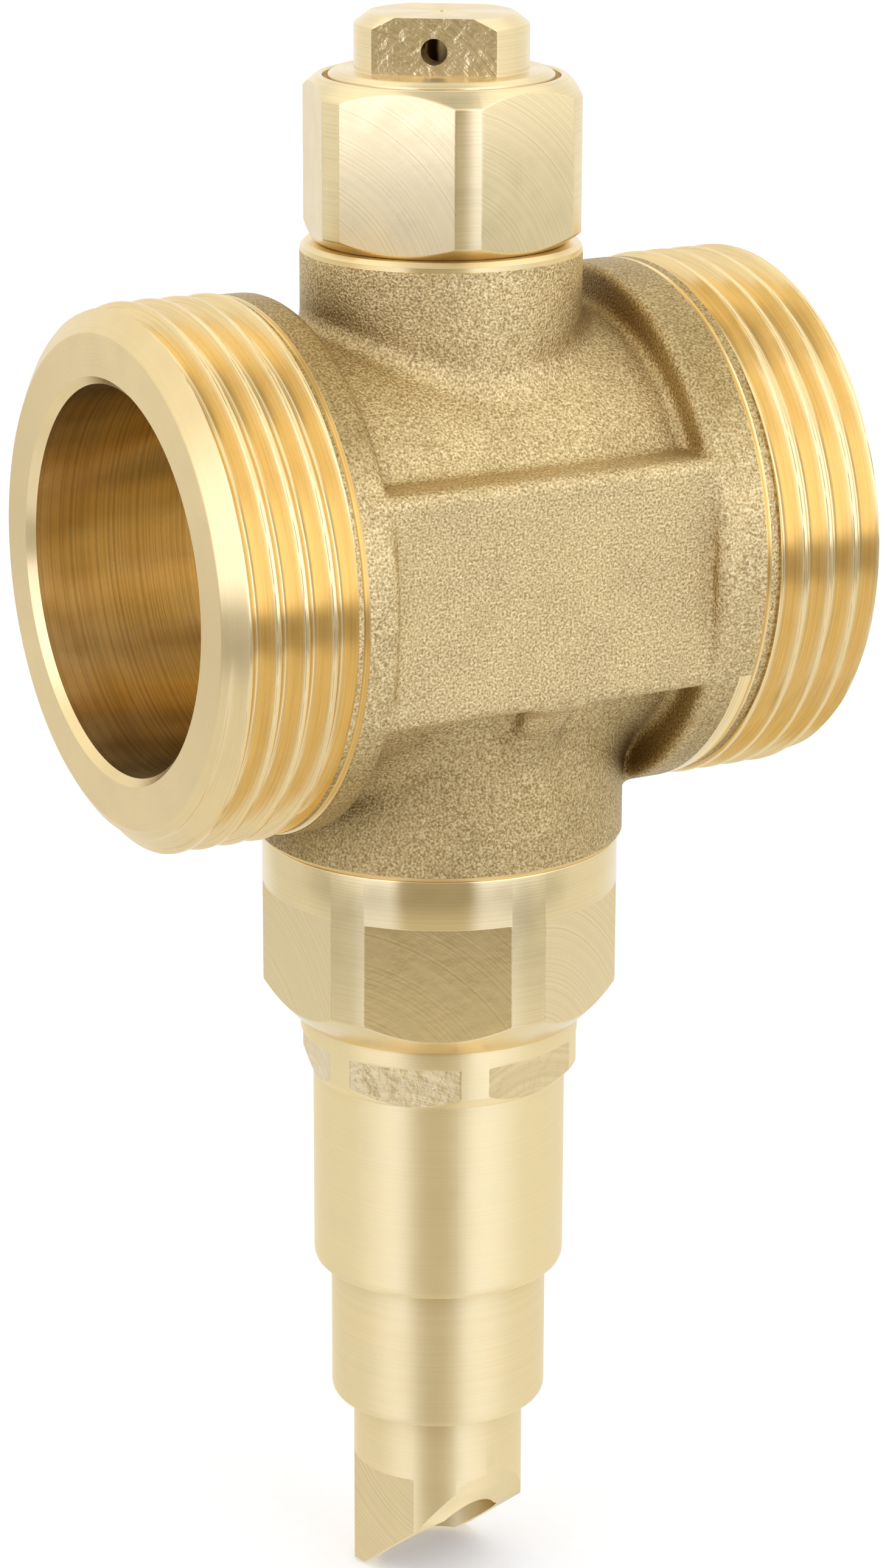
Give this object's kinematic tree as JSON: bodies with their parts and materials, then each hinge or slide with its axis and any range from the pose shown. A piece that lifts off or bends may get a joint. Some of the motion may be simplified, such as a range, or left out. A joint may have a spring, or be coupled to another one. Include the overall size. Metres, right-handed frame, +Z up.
{
  "type": "antifreeze valve",
  "caption": "Brass antifreeze drain valve: pipe run with male threads, air vent on top, and a hexagonal holder below with a thermostatic drain cartridge.",
  "frame": {"origin": "crossing of the pipe run's axis and the upright axis, at the middle of the waterway", "axes": "+X along the pipe run, +Z up towards the vent cap, -Y out of the front pad"},
  "size_m": [0.057, 0.042, 0.1289],
  "materials": {
    "cast_brass": "shot-blasted casting with turned ends",
    "turned_brass": "turned, fine tool marks",
    "capsule_brass": "drawn, satin",
    "spring_steel": "bright stainless wire",
    "seal_rubber": "matt black",
    "fibre": "pressed fibre"
  },
  "bodies": {
    "valve": {"valve_body": "cast_brass", "vent_nut": "turned_brass", "vent_gasket": "fibre", "vent_guide": "turned_brass", "vent_spring": "spring_steel", "vent_cap": "turned_brass", "vent_cap_seal": "seal_rubber", "adapter": "turned_brass", "adapter_seal": "seal_rubber", "shutoff_guide": "turned_brass", "shutoff_disc": "turned_brass", "shutoff_seal": "seal_rubber", "shutoff_spring": "spring_steel", "cartridge_sleeve": "turned_brass", "cartridge_seal": "seal_rubber", "wax_element": "capsule_brass", "element_holder": "turned_brass", "holder_clip": "spring_steel", "return_spring": "spring_steel", "drain_nozzle": "turned_brass", "nozzle_seal": "seal_rubber"},
    "vent_poppet": {"vent_poppet": "turned_brass", "vent_poppet_seal": "seal_rubber", "vent_stem_clip": "spring_steel"},
    "drain_plug": {"drain_plug": "turned_brass", "drain_plug_seal": "seal_rubber", "wax_piston": "spring_steel"}
  },
  "joints": [
    {"name": "vent_lift", "type": "slide", "parent": "valve", "child": "vent_poppet", "axis": [0, 0, -1], "range_m": [0, 0.0016], "stiffness_N_per_m": 120, "springref_m": -0.002, "deforming": ["vent_spring"]},
    {"name": "drain_lift", "type": "slide", "parent": "valve", "child": "drain_plug", "axis": [0, 0, 1], "range_m": [0, 0.0025], "deforming": ["return_spring"]}
  ]
}
